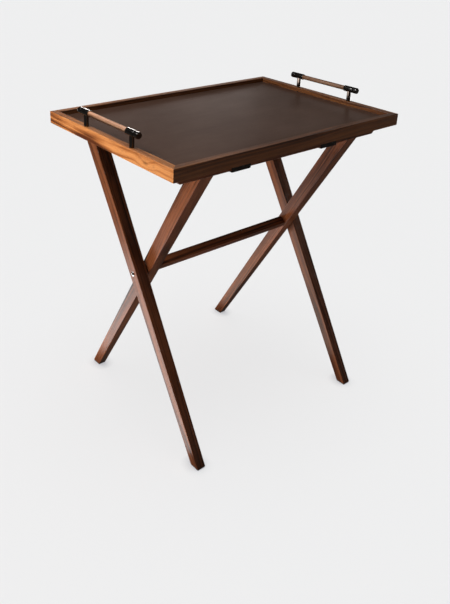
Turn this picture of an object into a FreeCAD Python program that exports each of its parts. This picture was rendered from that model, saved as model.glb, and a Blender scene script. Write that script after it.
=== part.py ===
import FreeCAD, Part
import os
import re
import Sketcher

# Folding tray table: a walnut tray with two bar handles on a folding X stand.
# Frame: X along the tray's long sides, Y towards the back, Z up.
# The origin is on the floor under the middle of the table.
# The outer frame's legs stand at the front and rise to the back rail.
# The inner frame's legs stand at the back and rise to the front rail.

DIMENSIONS = [
    # tray
    ("tray_length", 640), ("tray_width", 438), ("tray_depth", 26), ("tray_underside", 675),
    ("board", 16), ("board_easing", 1), ("groove_depth", 5), ("panel", 6),
    ("inset", 1.6), ("inset_gap", 0.5), ("lip", 9),
    ("spline_length", 9), ("spline_width", 7), ("spline", 3), ("spline_rise", 3),
    # handles
    ("post_spacing", 162), ("post_radius", 5), ("bar_radius", 5.3), ("bar_rise", 28.5),
    ("sleeve_radius", 6.8), ("sleeve_inboard", 14), ("sleeve_outboard", 11),
    ("neck_radius", 5.4), ("neck", 1.6), ("cap", 12.5), ("cap_easing", 0.8),
    ("handle_screw_radius", 2), ("handle_screw_head_radius", 3.6), ("handle_screw_head", 2.4),
    ("handle_screw_thread", 14),
    # stand
    ("leg_tilt", 30.9), ("pivot_height", 378.5), ("pad", 3), ("pad_margin", 1.2),
    ("rail_underside", 652), ("rail_width", 38), ("rail_front", 185), ("rail_length", 584),
    ("rail_end_cut", 14), ("rail_easing", 1.2),
    ("leg_foot_width", 25.5), ("leg_head_width", 38), ("leg_foot_thick", 21.2),
    ("leg_head_thick", 32.4), ("leg_easing", 1.2),
    ("outer_leg_offset", 242.5), ("leg_spacing", 31),
    ("dowel_radius", 3), ("dowel_pitch", 15), ("dowel_in_rail", 14), ("dowel_in_leg", 16),
    ("stretcher_wide", 21.5), ("stretcher_thick", 16.5), ("stretcher_rise", 8.5),
    ("stretcher_end", 197.4), ("stretcher_dowel_radius", 2.5), ("stretcher_dowel_pitch", 10),
    ("stretcher_dowel_half", 10), ("stretcher_easing", 0.8),
    # pivots
    ("bolt_radius", 3), ("bolt_clearance", 0.08), ("bolt_head_radius", 6), ("bolt_head", 2.4),
    ("bolt_gap", 0.2), ("bolt_socket_radius", 2.3), ("bolt_socket", 1.6),
    ("bolt_reach", 44), ("insert_radius", 5), ("insert_length", 12.5), ("insert_sink", 1),
    ("spacer_radius", 9), ("spacer", 2.9),
    # straps
    ("strap_width", 50), ("strap_thick", 1.8), ("strap_offset", 128), ("strap_hem", 26),
    ("strap_screw_radius", 1.6), ("strap_screw_head_radius", 3.6), ("strap_screw_head", 1.4),
    ("strap_screw_depth", 13), ("strap_screw_pitch", 28), ("strap_screw_inset", 15),
    ("strap_hole_gap", 0.3),
]
SIZE = dict(DIMENSIONS)
LEFT, RIGHT = -1, 1
FRONT, BACK = -1, 1
X_AXIS = FreeCAD.Vector(1, 0, 0)
Y_AXIS = FreeCAD.Vector(0, 1, 0)
Z_AXIS = FreeCAD.Vector(0, 0, 1)

doc = FreeCAD.newDocument("FoldingTrayTable")
sheet = doc.addObject("Spreadsheet::Sheet", "Sizes")
for row, (alias, number) in enumerate(DIMENSIONS, start=1):
    sheet.set("A%d" % row, alias)
    sheet.set("B%d" % row, str(number))
    sheet.setAlias("B%d" % row, alias)
doc.recompute()


def cells(expression):
    """The expression with each driving dimension written as its spreadsheet cell."""
    names = "|".join(sorted(SIZE, key=len, reverse=True))
    return re.sub(r"\b(%s)\b" % names, r"Sizes.\1", str(expression))


def bind(obj, prop, expression):
    """Drives one property of an object from the spreadsheet."""
    obj.setExpression(prop, cells(expression))


def side(sign, expression):
    """The expression, mirrored where sign is negative."""
    return "-(%s)" % expression if sign < 0 else "(%s)" % expression


# Heights and places that several pieces share, as expressions of the driving dimensions.
RIM_TOP = "(tray_underside + tray_depth)"
INSET_TOP = "(%s - lip)" % RIM_TOP
PANEL_TOP = "(%s - inset)" % INSET_TOP
PANEL_UNDERSIDE = "(%s - panel)" % PANEL_TOP
RAIL_TOP = "(%s - strap_thick)" % PANEL_UNDERSIDE
RAIL_MIDDLE = "(rail_front - rail_width / 2)"
HEM_UNDERSIDE = "(rail_underside - 2 * strap_thick)"
BAR_HEIGHT = "(%s + bar_rise)" % RIM_TOP
HANDLE_PLACE = "(tray_length / 2 - board / 2)"
INNER_LEG_OFFSET = "(outer_leg_offset - leg_spacing)"
LEG_TANGENT = "tan(leg_tilt * 1 deg)"
FOOT_PLACE = "((pivot_height - pad) * %s)" % LEG_TANGENT
HEAD_PLACE = "((rail_underside - pivot_height) * %s)" % LEG_TANGENT
LEG_GAP_MIDDLE = "(outer_leg_offset - leg_spacing / 2)"


def new_body(name):
    return doc.addObject("PartDesign::Body", name)


def place(body, x="0", y="0", z="0"):
    """Puts a body's origin at a place given by expressions."""
    for axis, expression in (("x", x), ("y", y), ("z", z)):
        bind(body, ".Placement.Base.%s" % axis, "(%s) * 1 mm" % expression)


def new_sketch(body, name, plane, offset="0"):
    """A sketch flat on one of its body's origin planes, moved along the plane's normal."""
    sketch = body.newObject("Sketcher::SketchObject", name)
    origin_plane = next(f for f in body.Origin.OriginFeatures if f.Role == plane + "_Plane")
    sketch.AttachmentSupport = [(origin_plane, "")]
    sketch.MapMode = "FlatFace"
    bind(sketch, ".AttachmentOffset.Base.z", "(%s) * 1 mm" % offset)
    return sketch


def pin_point(sketch, geometry, position, u, v):
    """Fixes one point of a sketch at (u, v), both given as expressions."""
    for kind, expression in (("DistanceX", u), ("DistanceY", v)):
        index = sketch.addConstraint(Sketcher.Constraint(kind, -1, 1, geometry, position, 1.0))
        bind(sketch, "Constraints[%d]" % index, "(%s) * 1 mm" % expression)


def polygon(sketch, corners):
    """A closed outline through the corners, each a pair of expressions."""
    first = sketch.GeometryCount
    count = len(corners)
    starts = [FreeCAD.Vector(number_of(u), number_of(v), 0) for u, v in corners]
    for i in range(count):
        sketch.addGeometry(Part.LineSegment(starts[i], starts[(i + 1) % count]), False)
    for i in range(count):
        following = first + (i + 1) % count
        sketch.addConstraint(Sketcher.Constraint("Coincident", first + i, 2, following, 1))
    for i, (u, v) in enumerate(corners):
        pin_point(sketch, first + i, 1, u, v)


def rectangle(sketch, u_low, u_high, v_low, v_high):
    polygon(sketch, [(u_low, v_low), (u_high, v_low), (u_high, v_high), (u_low, v_high)])


def circle(sketch, u, v, radius):
    """A circle with its centre and radius given as expressions."""
    centre = FreeCAD.Vector(number_of(u), number_of(v), 0)
    normal = FreeCAD.Vector(0, 0, 1)
    index = sketch.addGeometry(Part.Circle(centre, normal, number_of(radius)), False)
    pin_point(sketch, index, 3, u, v)
    constraint = sketch.addConstraint(Sketcher.Constraint("Radius", index, number_of(radius)))
    bind(sketch, "Constraints[%d]" % constraint, "(%s) * 1 mm" % radius)


def number_of(expression):
    """The expression's value in millimetres, for a sketch's first drawing."""
    value = sheet.evalExpression(cells("(%s) * 1 mm" % expression))
    return float(value.Value)


def pad(body, sketch, length, midplane=False, reversed_side=False):
    feature = body.newObject("PartDesign::Pad", sketch.Name + "Pad")
    feature.Profile = sketch
    feature.Midplane = midplane
    feature.Reversed = reversed_side
    bind(feature, "Length", "(%s) * 1 mm" % length)
    doc.recompute()
    return feature


def cut(body, sketch, length, midplane=False, reversed_side=False):
    """A pocket that has to take material away."""
    before = body.Shape.Volume
    feature = body.newObject("PartDesign::Pocket", sketch.Name + "Pocket")
    feature.Profile = sketch
    feature.Midplane = midplane
    feature.Reversed = reversed_side
    bind(feature, "Length", "(%s) * 1 mm" % length)
    doc.recompute()
    if feature.Shape.Volume >= before - 1e-3:
        raise RuntimeError("%s cuts nothing" % feature.Name)
    return feature


def ease(body, radius, wanted):
    """Rounds the edges of the body that the test function accepts."""
    base = body.Tip
    names = ["Edge%d" % (i + 1) for i, edge in enumerate(base.Shape.Edges) if wanted(edge)]
    feature = body.newObject("PartDesign::Fillet", body.Name + "Easing")
    feature.Base = (base, names)
    bind(feature, "Radius", "%s * 1 mm" % radius)
    doc.recompute()
    return feature


def edge_runs_along(axis, shortest):
    """A test for straight edges nearly along an axis and longer than a length."""
    def wanted(edge):
        if edge.Curve.TypeId != "Part::GeomLine" or edge.Length < shortest:
            return False
        return abs(edge.tangentAt(edge.FirstParameter).dot(axis)) > 0.8
    return wanted


def group(name, members):
    """Identical loose pieces kept as one node of separate solids."""
    compound = doc.addObject("Part::Compound", name)
    compound.Links = members
    return compound


def drill(body, name, height, holes, radius, depth, upwards=False):
    """Vertical blind holes from a level face, each hole a pair of expressions."""
    sketch = new_sketch(body, name, "XY", height)
    for x, y in holes:
        circle(sketch, x, y, radius)
    return cut(body, sketch, depth, reversed_side=upwards)


# --- Tray ---------------------------------------------------------------------------------


def spline_box(name, x_sign, y_sign):
    """A flat spline across one mitre, square to the joint."""
    box = doc.addObject("Part::Box", name)
    bind(box, "Length", "spline_width")
    bind(box, "Width", "spline_length")
    bind(box, "Height", "spline")
    turn = 45 * x_sign * y_sign
    box.Placement.Rotation = FreeCAD.Rotation(Z_AXIS, turn)
    middle_x = side(x_sign, HANDLE_PLACE)
    middle_y = side(y_sign, "tray_width / 2 - board / 2")
    sine = side(turn, "sin(45 deg)")
    bind(box, ".Placement.Base.x",
         "(%s - spline_width / 2 * cos(45 deg) + spline_length / 2 * %s) * 1 mm" % (middle_x, sine))
    bind(box, ".Placement.Base.y",
         "(%s - spline_width / 2 * %s - spline_length / 2 * cos(45 deg)) * 1 mm" % (middle_y, sine))
    bind(box, ".Placement.Base.z", "(tray_underside + spline_rise) * 1 mm")
    return box


def tray_long_side(name, sign):
    """One long board with mitred ends and a groove for the panel."""
    body = new_body(name)
    outer, inner = side(sign, "tray_width / 2"), side(sign, "tray_width / 2 - board")
    half, short = "tray_length / 2", "tray_length / 2 - board"
    sketch = new_sketch(body, name + "Outline", "XY", "tray_underside")
    polygon(sketch, [("-" + half, outer), (half, outer), (short, inner), ("-(%s)" % short, inner)])
    pad(body, sketch, "tray_depth")
    groove = new_sketch(body, name + "Groove", "YZ")
    walls = [inner, side(sign, "tray_width / 2 - board + groove_depth")]
    rectangle(groove, walls[0], walls[1], PANEL_UNDERSIDE, PANEL_TOP)
    cut(body, groove, "tray_length", midplane=True)
    rim = number_of(RIM_TOP)
    along = edge_runs_along(X_AXIS, 100)
    ease(body, "board_easing", lambda e: along(e) and abs(e.CenterOfMass.z - rim) < 0.01)
    return body


def tray_end(name, sign):
    """One short board with mitred ends, the groove, and holes for the handle screws."""
    body = new_body(name)
    outer, inner = side(sign, "tray_length / 2"), side(sign, "tray_length / 2 - board")
    half, short = "tray_width / 2", "tray_width / 2 - board"
    sketch = new_sketch(body, name + "Outline", "XY", "tray_underside")
    polygon(sketch, [(outer, "-" + half), (outer, half), (inner, short), (inner, "-(%s)" % short)])
    pad(body, sketch, "tray_depth")
    groove = new_sketch(body, name + "Groove", "XZ")
    walls = [inner, side(sign, "tray_length / 2 - board + groove_depth")]
    rectangle(groove, walls[0], walls[1], PANEL_UNDERSIDE, PANEL_TOP)
    cut(body, groove, "tray_width", midplane=True)
    centre = side(sign, HANDLE_PLACE)
    places = [(centre, side(end, "post_spacing / 2")) for end in (FRONT, BACK)]
    drill(body, name + "ScrewHoles", "tray_underside", places,
          "handle_screw_radius", "tray_depth", upwards=True)
    drill(body, name + "HeadHoles", "tray_underside", places,
          "handle_screw_head_radius", "handle_screw_head", upwards=True)
    rim = number_of(RIM_TOP)
    along = edge_runs_along(Y_AXIS, 100)
    ease(body, "board_easing", lambda e: along(e) and abs(e.CenterOfMass.z - rim) < 0.01)
    return body


def with_spline_slots(board, name, corners):
    """The finished board: its body less the slots that its two splines fill."""
    slots = doc.addObject("Part::Compound", name + "Slots")
    slots.Links = [spline_box("%sSlot%d" % (name, i), x, y) for i, (x, y) in enumerate(corners)]
    finished = doc.addObject("Part::Cut", name + "Finished")
    finished.Base = board
    finished.Tool = slots
    return finished


def tray_panel():
    """The bottom panel, held in the grooves on all four sides."""
    body = new_body("TrayPanel")
    sketch = new_sketch(body, "TrayPanelOutline", "XY", PANEL_UNDERSIDE)
    half_x = "(tray_length / 2 - board + groove_depth)"
    half_y = "(tray_width / 2 - board + groove_depth)"
    rectangle(sketch, "-" + half_x, half_x, "-" + half_y, half_y)
    pad(body, sketch, "panel")
    return body


def tray_inset():
    """The covering that lies on the panel, just clear of the four boards."""
    body = new_body("TrayInset")
    sketch = new_sketch(body, "TrayInsetOutline", "XY", PANEL_TOP)
    half_x = "(tray_length / 2 - board - inset_gap)"
    half_y = "(tray_width / 2 - board - inset_gap)"
    rectangle(sketch, "-" + half_x, half_x, "-" + half_y, half_y)
    pad(body, sketch, "inset")
    return body


# --- Handles ------------------------------------------------------------------------------


def handle_post(name, x_sign, end):
    """A round post with its top hollowed to seat the sleeve and a thread for its screw."""
    body = new_body(name)
    place(body, side(x_sign, HANDLE_PLACE), side(end, "post_spacing / 2"), "0")
    sketch = new_sketch(body, name + "Round", "XY", RIM_TOP)
    circle(sketch, "0", "0", "post_radius")
    pad(body, sketch, "bar_rise")
    saddle = new_sketch(body, name + "Saddle", "XZ")
    circle(saddle, "0", BAR_HEIGHT, "sleeve_radius")
    cut(body, saddle, "4 * post_radius", midplane=True)
    drill(body, name + "Thread", RIM_TOP, [("0", "0")],
          "handle_screw_radius", "handle_screw_thread", upwards=True)
    return body


def turned(body, name, profile):
    """A piece turned about the handle's axis, from a profile of (along, radius) pairs."""
    sketch = new_sketch(body, name + "Profile", "YZ")
    polygon(sketch, profile)
    feature = body.newObject("PartDesign::Revolution", name + "Turned")
    feature.Profile = sketch
    feature.ReferenceAxis = (sketch, ["H_Axis"])
    feature.Angle = 360
    doc.recompute()
    return body


def handle_sleeve(name, x_sign, end):
    """A tube around the bar at the top of a post."""
    body = new_body(name)
    place(body, side(x_sign, HANDLE_PLACE), side(end, "post_spacing / 2"), BAR_HEIGHT)
    near, far = side(end, "-sleeve_inboard"), side(end, "sleeve_outboard")
    profile = [(near, "bar_radius"), (far, "bar_radius"), (far, "sleeve_radius"),
               (near, "sleeve_radius")]
    return turned(body, name, profile)


def handle_cap(name, x_sign, end):
    """A solid knob on the bar's end, joined to the sleeve by a narrow neck."""
    body = new_body(name)
    place(body, side(x_sign, HANDLE_PLACE), side(end, "post_spacing / 2"), BAR_HEIGHT)
    start = "sleeve_outboard"
    stations = [("0", "0"), ("0", "neck_radius"), ("neck", "neck_radius"),
                ("neck", "sleeve_radius - cap_easing / 2"),
                ("neck + cap_easing / 2", "sleeve_radius"),
                ("cap - cap_easing", "sleeve_radius"),
                ("cap", "sleeve_radius - cap_easing"), ("cap", "0")]
    profile = [(side(end, "%s + %s" % (start, along)), radius) for along, radius in stations]
    return turned(body, name, profile)


def handle_bar(name, x_sign):
    """The wooden rod between the two end caps."""
    rod = doc.addObject("Part::Cylinder", name)
    bind(rod, "Radius", "bar_radius * 1 mm")
    bind(rod, "Height", "(post_spacing + 2 * sleeve_outboard) * 1 mm")
    rod.Placement.Rotation = FreeCAD.Rotation(X_AXIS, -90)
    bind(rod, ".Placement.Base.x", "%s * 1 mm" % side(x_sign, HANDLE_PLACE))
    bind(rod, ".Placement.Base.y", "-(post_spacing / 2 + sleeve_outboard) * 1 mm")
    bind(rod, ".Placement.Base.z", "%s * 1 mm" % BAR_HEIGHT)
    return rod


def handle_screw(name, x_sign, end):
    """A screw up through the end board into its post."""
    body = new_body(name)
    place(body, side(x_sign, HANDLE_PLACE), side(end, "post_spacing / 2"), "tray_underside")
    head = new_sketch(body, name + "Head", "XY")
    circle(head, "0", "0", "handle_screw_head_radius")
    pad(body, head, "handle_screw_head")
    shank = new_sketch(body, name + "Shank", "XY")
    circle(shank, "0", "0", "handle_screw_radius")
    pad(body, shank, "tray_depth + handle_screw_thread")
    return body


# --- Stand --------------------------------------------------------------------------------


def leg(name, x_sign, top_side, offset, is_outer):
    """A leg that tapers to its foot, cut level at the floor pad and under its rail."""
    body = new_body(name)
    place(body, side(x_sign, offset), "0", "0")
    foot, head = side(-top_side, FOOT_PLACE), side(top_side, HEAD_PLACE)
    sketch = new_sketch(body, name + "Side", "YZ")
    polygon(sketch, [("%s - leg_foot_width / 2" % foot, "pad"),
                     ("%s + leg_foot_width / 2" % foot, "pad"),
                     ("%s + leg_head_width / 2" % head, "rail_underside"),
                     ("%s - leg_head_width / 2" % head, "rail_underside")])
    pad(body, sketch, "leg_head_thick", midplane=True)
    taper = new_sketch(body, name + "Taper", "XZ")
    for sign in (LEFT, RIGHT):
        polygon(taper, [(side(sign, "leg_foot_thick / 2"), "pad"),
                        (side(sign, "leg_head_thick / 2"), "rail_underside"),
                        (side(sign, "leg_head_thick"), "rail_underside"),
                        (side(sign, "leg_head_thick"), "pad")])
    cut(body, taper, "2 * rail_underside", midplane=True)
    length_direction = FreeCAD.Vector(0, top_side, 1).normalize()
    ease(body, "leg_easing", edge_runs_along(length_direction, 200))
    holes = [(side(pair, "dowel_pitch / 2"), head) for pair in (LEFT, RIGHT)]
    drill(body, name + "DowelHoles", "rail_underside", holes,
          "dowel_radius", "dowel_in_leg")
    pivot = new_sketch(body, name + "Pivot", "YZ")
    if is_outer:
        circle(pivot, "0", "pivot_height", "bolt_radius + bolt_clearance")
        cut(body, pivot, "2 * leg_head_thick", midplane=True)
    else:
        circle(pivot, "0", "pivot_height", "insert_radius")
        cut(body, pivot, "leg_head_thick", reversed_side=x_sign > 0)
        stretcher_holes(body, name, x_sign, top_side)
    return body


def stretcher_centre(top_side):
    """The stretcher's axis: a little above the pivots, on the inner legs' centre line."""
    return (side(top_side, "stretcher_rise * sin(leg_tilt * 1 deg)"),
            "pivot_height + stretcher_rise * cos(leg_tilt * 1 deg)")


def stretcher_dowel_places(top_side):
    """The two dowels lie side by side across the leg."""
    centre_y, centre_z = stretcher_centre(top_side)
    places = []
    for sign in (LEFT, RIGHT):
        across = "stretcher_dowel_pitch / 2 * cos(leg_tilt * 1 deg)"
        rise = "stretcher_dowel_pitch / 2 * sin(leg_tilt * 1 deg)"
        places.append(("%s + %s" % (centre_y, side(sign, across)),
                       "%s + %s" % (centre_z, side(-sign * top_side, rise))))
    return places


def stretcher_holes(body, name, x_sign, top_side):
    """Dowel holes in the inner face of an inner leg."""
    inwards = "%s - stretcher_end" % INNER_LEG_OFFSET
    sketch = new_sketch(body, name + "StretcherHoles", "YZ", side(-x_sign, inwards))
    for y, z in stretcher_dowel_places(top_side):
        circle(sketch, y, z, "stretcher_dowel_radius")
    cut(body, sketch, "stretcher_dowel_half", reversed_side=x_sign > 0)


def rail(name, y_sign):
    """A top rail with cut lower corners, dowel holes and pilot holes for the strap screws."""
    body = new_body(name)
    sketch = new_sketch(body, name + "Outline", "XZ", side(-y_sign, RAIL_MIDDLE))
    half = "rail_length / 2"
    cut_height = "rail_underside + rail_end_cut"
    polygon(sketch, [("-(%s - rail_end_cut)" % half, "rail_underside"),
                     ("%s - rail_end_cut" % half, "rail_underside"),
                     (half, cut_height), (half, RAIL_TOP), ("-" + half, RAIL_TOP),
                     ("-" + half, cut_height)])
    pad(body, sketch, "rail_width", midplane=True)
    ease(body, "rail_easing", edge_runs_along(X_AXIS, 300))
    middle = side(y_sign, HEAD_PLACE)
    offset = "outer_leg_offset" if y_sign == BACK else INNER_LEG_OFFSET
    holes = [("%s + %s" % (side(x_sign, offset), side(pair, "dowel_pitch / 2")), middle)
             for x_sign in (LEFT, RIGHT) for pair in (LEFT, RIGHT)]
    drill(body, name + "DowelHoles", "rail_underside", holes,
          "dowel_radius", "dowel_in_rail", upwards=True)
    drill(body, name + "PilotHoles", "rail_underside", strap_screw_places(y_sign),
          "strap_screw_radius", "strap_screw_depth", upwards=True)
    return body


def rail_dowels(name, y_sign):
    """The four upright dowels between two legs and their rail."""
    offset = "outer_leg_offset" if y_sign == BACK else INNER_LEG_OFFSET
    dowels = []
    for x_sign in (LEFT, RIGHT):
        for pair in (LEFT, RIGHT):
            dowel = doc.addObject("Part::Cylinder", "%s%d" % (name, len(dowels) + 1))
            bind(dowel, "Radius", "dowel_radius * 1 mm")
            bind(dowel, "Height", "(dowel_in_leg + dowel_in_rail) * 1 mm")
            centre = "%s + %s" % (side(x_sign, offset), side(pair, "dowel_pitch / 2"))
            bind(dowel, ".Placement.Base.x", "(%s) * 1 mm" % centre)
            bind(dowel, ".Placement.Base.y", "%s * 1 mm" % side(y_sign, HEAD_PLACE))
            bind(dowel, ".Placement.Base.z", "(rail_underside - dowel_in_leg) * 1 mm")
            dowels.append(dowel)
    return group(name, dowels)


def stretcher():
    """The bar between the inner legs, its section turned to match them."""
    body = new_body("Stretcher")
    centre_y, centre_z = stretcher_centre(FRONT)
    tilt = "(leg_tilt * 1 deg)"
    corners = []
    for u, v in ((-1, -1), (1, -1), (1, 1), (-1, 1)):
        across, along = side(u, "stretcher_wide / 2"), side(v, "stretcher_thick / 2")
        corners.append(("%s + %s * cos%s - %s * sin%s" % (centre_y, across, tilt, along, tilt),
                        "%s + %s * sin%s + %s * cos%s" % (centre_z, across, tilt, along, tilt)))
    sketch = new_sketch(body, "StretcherSection", "YZ")
    polygon(sketch, corners)
    pad(body, sketch, "2 * stretcher_end", midplane=True)
    ease(body, "stretcher_easing", edge_runs_along(X_AXIS, 300))
    for x_sign, word in ((LEFT, "Left"), (RIGHT, "Right")):
        end = side(x_sign, "stretcher_end")
        holes = new_sketch(body, "StretcherHoles" + word, "YZ", end)
        for y, z in stretcher_dowel_places(FRONT):
            circle(holes, y, z, "stretcher_dowel_radius")
        cut(body, holes, "stretcher_dowel_half", reversed_side=x_sign < 0)
    return body


def stretcher_dowels():
    """The four dowels that pin the stretcher's ends to the inner legs."""
    dowels = []
    for x_sign in (LEFT, RIGHT):
        for y, z in stretcher_dowel_places(FRONT):
            dowel = doc.addObject("Part::Cylinder", "StretcherDowel%d" % (len(dowels) + 1))
            bind(dowel, "Radius", "stretcher_dowel_radius * 1 mm")
            bind(dowel, "Height", "2 * stretcher_dowel_half * 1 mm")
            dowel.Placement.Rotation = FreeCAD.Rotation(Y_AXIS, 90)
            start = "%s - stretcher_dowel_half" % side(x_sign, "stretcher_end")
            bind(dowel, ".Placement.Base.x", "(%s) * 1 mm" % start)
            bind(dowel, ".Placement.Base.y", "(%s) * 1 mm" % y)
            bind(dowel, ".Placement.Base.z", "(%s) * 1 mm" % z)
            dowels.append(dowel)
    return group("StretcherDowels", dowels)


def foot_pad(name, x_sign, y_sign, offset):
    """A thin pad under a leg's foot, just inside the leg's outline."""
    body = new_body(name)
    place(body, side(x_sign, offset), side(y_sign, FOOT_PLACE), "0")
    sketch = new_sketch(body, name + "Outline", "XY")
    half_x = "(leg_foot_thick / 2 - pad_margin)"
    half_y = "(leg_foot_width / 2 - pad_margin)"
    rectangle(sketch, "-" + half_x, half_x, "-" + half_y, half_y)
    pad(body, sketch, "pad")
    return body


# --- Pivots -------------------------------------------------------------------------------

# A leg's half thickness where the pivot crosses it.
LEG_HALF_AT_PIVOT = ("((leg_foot_thick + (leg_head_thick - leg_foot_thick)"
                     " * (pivot_height - pad) / (rail_underside - pad)) / 2)")
BOLT_HEAD_PLACE = "(outer_leg_offset + %s + bolt_gap)" % LEG_HALF_AT_PIVOT


def pivot_bolt(name, x_sign):
    """A round-headed bolt with a six-sided socket, turning in the outer leg."""
    body = new_body(name)
    place(body, side(x_sign, BOLT_HEAD_PLACE), "0", "pivot_height")
    shank = new_sketch(body, name + "Shank", "YZ")
    circle(shank, "0", "0", "bolt_radius")
    pad(body, shank, "bolt_reach", reversed_side=x_sign > 0)
    head = new_sketch(body, name + "Head", "YZ")
    circle(head, "0", "0", "bolt_head_radius")
    pad(body, head, "bolt_head", reversed_side=x_sign < 0)
    rim_place = number_of(side(x_sign, "bolt_head"))
    ease(body, "bolt_head / 2", lambda e: abs(e.CenterOfMass.x - rim_place) < 0.01)
    socket = new_sketch(body, name + "Socket", "YZ", side(x_sign, "bolt_head"))
    polygon(socket, [("bolt_socket_radius * cos(%d deg)" % angle,
                      "bolt_socket_radius * sin(%d deg)" % angle) for angle in range(0, 360, 60)])
    cut(body, socket, "bolt_socket", reversed_side=x_sign < 0)
    return body


def tube_along_x(name, x_sign, start, length, outer, inner):
    """A ring or bush on the pivot axis, from start towards the middle of the table."""
    body = new_body(name)
    place(body, side(x_sign, start), "0", "pivot_height")
    sketch = new_sketch(body, name + "Ring", "YZ")
    circle(sketch, "0", "0", outer)
    circle(sketch, "0", "0", inner)
    pad(body, sketch, length, reversed_side=x_sign > 0)
    return body


def pivot_spacer(name, x_sign):
    return tube_along_x(name, x_sign, "%s + spacer / 2" % LEG_GAP_MIDDLE, "spacer",
                        "spacer_radius", "bolt_radius + bolt_clearance")


def pivot_insert(name, x_sign):
    start = "%s + %s - insert_sink" % (INNER_LEG_OFFSET, LEG_HALF_AT_PIVOT)
    return tube_along_x(name, x_sign, start, "insert_length", "insert_radius", "bolt_radius")


# --- Straps -------------------------------------------------------------------------------


def strap_screw_places(y_sign):
    """Screw centres under one rail: two for each strap."""
    y = side(y_sign, "rail_front - strap_screw_inset")
    return [("%s + %s" % (side(x_sign, "strap_offset"), side(pair, "strap_screw_pitch / 2")), y)
            for x_sign in (LEFT, RIGHT) for pair in (LEFT, RIGHT)]


def strap(name, x_sign):
    """Webbing over both rails and down their outer faces, its doubled hems back under them."""
    body = new_body(name)
    place(body, side(x_sign, "strap_offset"), "0", "0")
    over, under = PANEL_UNDERSIDE, HEM_UNDERSIDE
    outside = "(rail_front + strap_thick)"
    hem_end = "(rail_front - strap_hem)"
    outline = [(hem_end, "rail_underside"), ("rail_front", "rail_underside"),
               ("rail_front", RAIL_TOP), ("-rail_front", RAIL_TOP),
               ("-rail_front", "rail_underside"), ("-" + hem_end, "rail_underside"),
               ("-" + hem_end, under), ("-" + outside, under), ("-" + outside, over),
               (outside, over), (outside, under), (hem_end, under)]
    sketch = new_sketch(body, name + "Path", "YZ")
    polygon(sketch, outline)
    pad(body, sketch, "strap_width", midplane=True)
    for y_sign in (FRONT, BACK):
        word = "Front" if y_sign == FRONT else "Back"
        holes = [(side(pair, "strap_screw_pitch / 2"), y) for (x, y), pair
                 in zip(strap_screw_places(y_sign), (LEFT, RIGHT))]
        drill(body, name + word + "Holes", "rail_underside", holes,
              "strap_screw_radius + strap_hole_gap", "3 * strap_thick")
    return body


def strap_screws(name, y_sign):
    """The four round-headed screws that hold both straps under one rail."""
    screws = []
    for x, y in strap_screw_places(y_sign):
        member = "%s%d" % (name, len(screws) + 1)
        body = new_body(member)
        place(body, x, y, HEM_UNDERSIDE)
        head = new_sketch(body, member + "Head", "XY")
        circle(head, "0", "0", "strap_screw_head_radius")
        pad(body, head, "strap_screw_head", reversed_side=True)
        shank = new_sketch(body, member + "Shank", "XY")
        circle(shank, "0", "0", "strap_screw_radius")
        pad(body, shank, "2 * strap_thick + strap_screw_depth")
        screws.append(body)
    return group(name, screws)


# --- The whole table ----------------------------------------------------------------------

nodes = {}


def keep(node, obj):
    """Names a finished piece: its label is its node name."""
    obj.Label = node
    nodes[node] = obj


def build_tray():
    for y_sign, word in ((FRONT, "front"), (BACK, "back")):
        board = tray_long_side("TraySide" + word.title(), y_sign)
        corners = [(LEFT, y_sign), (RIGHT, y_sign)]
        keep("tray_side_" + word, with_spline_slots(board, "TraySide" + word.title(), corners))
    for x_sign, word in ((LEFT, "left"), (RIGHT, "right")):
        board = tray_end("TrayEnd" + word.title(), x_sign)
        corners = [(x_sign, FRONT), (x_sign, BACK)]
        keep("tray_end_" + word, with_spline_slots(board, "TrayEnd" + word.title(), corners))
    keep("tray_panel", tray_panel())
    keep("tray_leather_inset", tray_inset())
    splines = [spline_box("Spline%d%d" % (x + 1, y + 1), x, y)
               for x in (LEFT, RIGHT) for y in (FRONT, BACK)]
    keep("mitre_splines", group("MitreSplines", splines))


def build_handles():
    screws = []
    for x_sign, hand in ((LEFT, "left"), (RIGHT, "right")):
        keep("handle_bar_" + hand, handle_bar("HandleBar" + hand.title(), x_sign))
        for end, word in ((FRONT, "front"), (BACK, "back")):
            suffix = "%s%s" % (hand.title(), word.title())
            tail = "_%s_%s" % (hand, word)
            keep("handle_post" + tail, handle_post("HandlePost" + suffix, x_sign, end))
            keep("handle_sleeve" + tail, handle_sleeve("HandleSleeve" + suffix, x_sign, end))
            keep("handle_cap" + tail, handle_cap("HandleCap" + suffix, x_sign, end))
            screws.append(handle_screw("HandleScrew" + suffix, x_sign, end))
    keep("handle_screws", group("HandleScrews", screws))


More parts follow.
